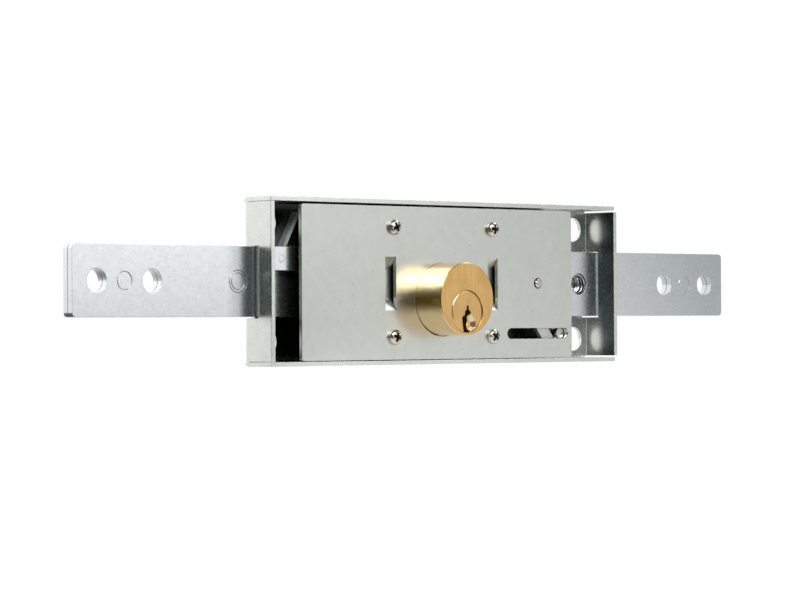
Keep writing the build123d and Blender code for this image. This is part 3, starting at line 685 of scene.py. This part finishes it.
def carve(piece, cutter):
    """Cuts one mesh out of another and drops the cutter."""
    step = piece.modifiers.new("cut", "BOOLEAN")
    step.operation = "DIFFERENCE"
    step.solver = "EXACT"
    step.use_self = True
    step.object = cutter
    graph = bpy.context.evaluated_depsgraph_get()
    carved = bpy.data.meshes.new_from_object(piece.evaluated_get(graph))
    piece.modifiers.clear()
    piece.data = carved
    bpy.data.objects.remove(cutter)


def make_screws(material, recess_shade_material):
    """Four cross-recess pan heads in place of the plain ones."""
    low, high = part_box("cover_screws")
    seat = low.y + screw_head_height
    points, faces = lathe(screw_profile(), screw_sides)
    places = [
        (x, z)
        for x in (low.x + screw_head_radius, high.x - screw_head_radius)
        for z in (low.z + screw_head_radius, high.z - screw_head_radius)
    ]
    for number, ((x, z), turn) in enumerate(zip(places, screw_turns), 1):
        piece = mesh_piece(f"cross_screw_{number}", points, faces, material)
        cutter = mesh_piece("cutter", *cross_cutter(2 * screw_head_height), material, False)
        for solid in (piece, cutter):
            # The cutter's faces, which become the recess, take the dark recess material as
            # painted shade
            solid.data.materials.append(recess_shade_material)
        for polygon in cutter.data.polygons:
            polygon.material_index = 1
        cutter.rotation_euler = (0, radians(turn), 0)
        bpy.context.view_layer.update()
        carve(piece, cutter)
        piece.location = (x, seat, z)
        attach(piece, "case")
        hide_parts("cover_screws")


# Thread of an 8 mm screw
thread_pitch = 0.00125
thread_height = 0.00065
thread_steps = 40


def make_thread(material):
    """The thread of the right bolt's hole, as one ridge that winds through it."""
    centre, radius, length = mount_place("right_bolt_threaded_hole")
    crest = radius - thread_height
    ridge = (
        (radius, -thread_pitch / 2),
        (radius, -thread_pitch / 5),
        (crest, -thread_pitch / 12),
        (crest, thread_pitch / 6),
        (radius, thread_pitch / 2),
    )
    corners = len(ridge)
    count = int(thread_steps * (length - thread_pitch) / thread_pitch)
    points = []
    for step in range(count + 1):
        angle = 2 * pi * step / thread_steps
        middle = thread_pitch / 2 + thread_pitch * step / thread_steps - length / 2
        for reach, shift in ridge:
            points.append((reach * cos(angle), middle + shift, reach * sin(angle)))
    faces = []
    for step in range(count):
        for side in range(corners - 1):
            corner = corners * step + side
            faces.append((corner, corner + 1, corner + corners + 1, corner + corners))
    piece = mesh_piece("bolt_thread", points, faces, material, False)
    piece.location = centre
    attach(piece, "right_bolt")


# Painted shadow ring round the nose, and the edge of the cover's hole
sleeve_sides = 96
sleeve_inset = 0.00002
sleeve_wall = 0.00035
sleeve_rear = -0.0128
sleeve_length = 0.0016
rim_sides = 128
rim_gap = 0.00026
rim_wall = 0.00023
rim_length = 0.0015
rim_shift = {"across": 0.00022, "up": -0.00014}


def make_shadow_sleeve(material):
    """A ring at the root of the nose, round the CAD model's narrower neck, dark as a painted
    shadow in the gap.
    """
    centre, nose_radius, _ = mount_place("cylinder_nose")
    outer = nose_radius - sleeve_inset
    inner = outer - sleeve_wall
    rear = sleeve_rear - centre.y
    front = rear - sleeve_length
    rings = [
        circle(radius, depth, sleeve_sides)
        for radius, depth in ((inner, rear), (outer, rear), (outer, front), (inner, front))
    ]
    piece = tube("nose_shadow_sleeve", rings, sleeve_sides, material)
    piece.location = centre
    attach(piece, "case")


def make_hole_rim(material):
    """The edge of the cover's hole, which lies closer to the nose on the left."""
    centre, nose_radius, _ = mount_place("cylinder_nose")
    inner = nose_radius + rim_gap
    outer = inner + rim_wall
    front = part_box("cover_plate")[0].y - centre.y
    rear = front + rim_length
    rings = [
        circle(inner, rear, rim_sides, **rim_shift),
        circle(outer, rear, rim_sides),
        circle(outer, front, rim_sides),
        circle(inner, front, rim_sides, **rim_shift),
    ]
    piece = tube("cover_hole_rim", rings, rim_sides, material)
    piece.location = centre
    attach(piece, "case")


# Floor, backdrop and light
floor_half_size = 3.0
floor_colour = (0.80, 0.80, 0.78, 1)
floor_glow_share = 0.90
floor_seen_glow = 1.08
floor_mirrored_near = 0.05
floor_mirrored_far = 0.88
floor_dim_end = -0.085
floor_bright_start = -0.050


def make_floor():
    """A pale floor, white where it is lit and faintly grey in the lock's shadow.

    The metal mirrors it as white beside and behind the lock, and as dim in front of it.
    """
    data = bpy.data.meshes.new("floor")
    mesh = bmesh.new()
    bmesh.ops.create_grid(mesh, x_segments=2, y_segments=2, size=floor_half_size)
    mesh.to_mesh(data)
    mesh.free()
    floor = bpy.data.objects.new("floor", data)
    floor.location.z = cad_bounds[0][2]
    bpy.context.scene.collection.objects.link(floor)
    material = bpy.data.materials.new("pale_floor")
    material.use_nodes = True
    tree = material.node_tree
    tree.nodes.clear()
    output = tree.nodes.new("ShaderNodeOutputMaterial")
    diffuse = tree.nodes.new("ShaderNodeBsdfDiffuse")
    diffuse.inputs["Color"].default_value = floor_colour
    glow = tree.nodes.new("ShaderNodeEmission")
    path = tree.nodes.new("ShaderNodeLightPath")
    camera_ray = path.outputs["Is Camera Ray"]
    glossy_ray = path.outputs["Is Glossy Ray"]
    distance = arithmetic(
        tree, "ADD",
        product(tree, coordinate(tree, "Object", "X"), sin(view_azimuth)),
        product(tree, coordinate(tree, "Object", "Y"), cos(view_azimuth)))
    mirrored = remap(
        tree, distance,
        floor_dim_end, floor_bright_start, floor_mirrored_near, floor_mirrored_far)
    seen = product(tree, camera_ray, floor_seen_glow)
    tree.links.new(arithmetic(tree, "MAXIMUM", seen, mirrored), glow.inputs["Strength"])
    share = product(
        tree, arithmetic(tree, "MAXIMUM", camera_ray, glossy_ray), floor_glow_share)
    mix = tree.nodes.new("ShaderNodeMixShader")
    tree.links.new(share, mix.inputs["Fac"])
    tree.links.new(diffuse.outputs["BSDF"], mix.inputs[1])
    tree.links.new(glow.outputs["Emission"], mix.inputs[2])
    tree.links.new(mix.outputs["Shader"], output.inputs["Surface"])
    data.materials.append(material)


# Colours of the room from its front to its back, by the share of the way
room_colours = (
    (0.00, (0.026, 0.050, 0.048)),
    (0.38, (0.032, 0.056, 0.054)),
    (0.60, (0.55, 0.55, 0.55)),
    (0.80, (1.00, 1.00, 1.00)),
)
room_strength = 1.3


def make_world():
    """White to the camera, a white backdrop behind the lock and a dim room in front of it."""
    world = bpy.data.worlds.new("studio")
    bpy.context.scene.world = world
    world.use_nodes = True
    tree = world.node_tree
    tree.nodes.clear()
    output = tree.nodes.new("ShaderNodeOutputWorld")
    to_rear = rising(tree, coordinate(tree, "Generated", "Y"), -1.0, 1.0)
    room = tree.nodes.new("ShaderNodeBackground")
    tree.links.new(ramp(tree, to_rear, room_colours), room.inputs["Color"])
    room.inputs["Strength"].default_value = room_strength
    white = tree.nodes.new("ShaderNodeBackground")
    white.inputs["Color"].default_value = (1, 1, 1, 1)
    path = tree.nodes.new("ShaderNodeLightPath")
    mix = tree.nodes.new("ShaderNodeMixShader")
    tree.links.new(path.outputs["Is Camera Ray"], mix.inputs["Fac"])
    tree.links.new(room.outputs["Background"], mix.inputs[1])
    tree.links.new(white.outputs["Background"], mix.inputs[2])
    tree.links.new(mix.outputs["Shader"], output.inputs["Surface"])


def softbox(name, azimuth, elevation, distance, width, height, radiance):
    """An area lamp that faces the lock. Azimuth runs from -Y towards +X, in degrees."""
    aim = Vector((
        sin(radians(azimuth)) * cos(radians(elevation)),
        -cos(radians(azimuth)) * cos(radians(elevation)),
        sin(radians(elevation)),
    ))
    data = bpy.data.lights.new(name, "AREA")
    data.shape = "RECTANGLE"
    data.size = width
    data.size_y = height
    data.energy = radiance * pi * width * height
    lamp = bpy.data.objects.new(name, data)
    lamp.location = aim * distance
    lamp.rotation_euler = aim.to_track_quat("Z", "Y").to_euler()
    bpy.context.scene.collection.objects.link(lamp)


def make_light():
    softbox("key_softbox", azimuth=31, elevation=4, distance=1.6,
            width=0.60, height=1.2, radiance=1.65)
    softbox("side_softbox", azimuth=57, elevation=4, distance=1.6,
            width=0.90, height=1.2, radiance=0.36)
    softbox("top_softbox", azimuth=-12, elevation=36, distance=1.5,
            width=1.4, height=0.48, radiance=7.0)
    softbox("corner_softbox", azimuth=70, elevation=43, distance=1.5,
            width=0.9, height=0.5, radiance=3.0)
    softbox("front_softbox", azimuth=3, elevation=7, distance=1.6,
            width=0.75, height=0.9, radiance=0.80)


make_camera()
make_world()
make_light()
make_floor()
materials = make_materials()
dress_nodes(materials)
make_screws(materials["screw_steel"], materials["recess_steel"])
make_thread(materials["thread_steel"])
make_shadow_sleeve(materials["recess_steel"])
make_hole_rim(materials["cover_steel"])

bpy.context.scene.view_settings.view_transform = "Standard"
